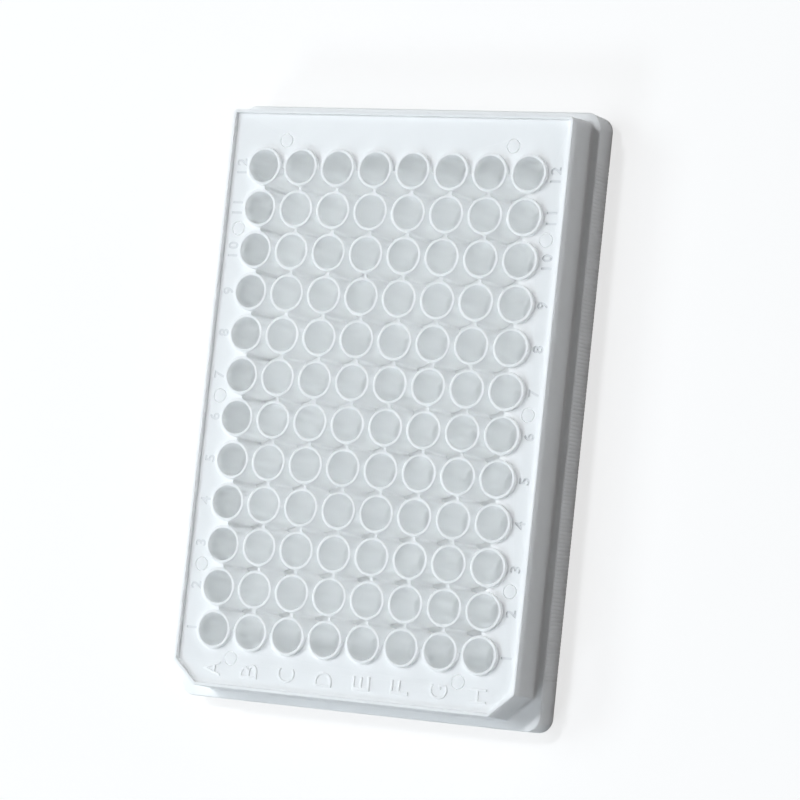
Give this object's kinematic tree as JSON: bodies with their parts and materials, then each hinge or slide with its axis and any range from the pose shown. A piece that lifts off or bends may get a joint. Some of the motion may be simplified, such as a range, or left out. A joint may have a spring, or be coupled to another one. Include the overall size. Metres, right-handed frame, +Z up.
{
  "type": "96-well microplate",
  "caption": "Opaque one-piece microplate: an 8 by 12 grid of open round wells with raised rims, inside a lip, over a wide flat skirt with two cut corners.",
  "frame": {"origin": "centre of the footprint, on the bench under the skirt", "axes": "+X along the rows from column 1 to column 12, +Y along the columns from row H to row A, +Z up out of the wells"},
  "size_m": [0.1278, 0.0854, 0.0143],
  "materials": {
    "white_polystyrene": "satin"
  },
  "bodies": {
    "root": {"well_plate": "white_polystyrene"}
  },
  "joints": []
}
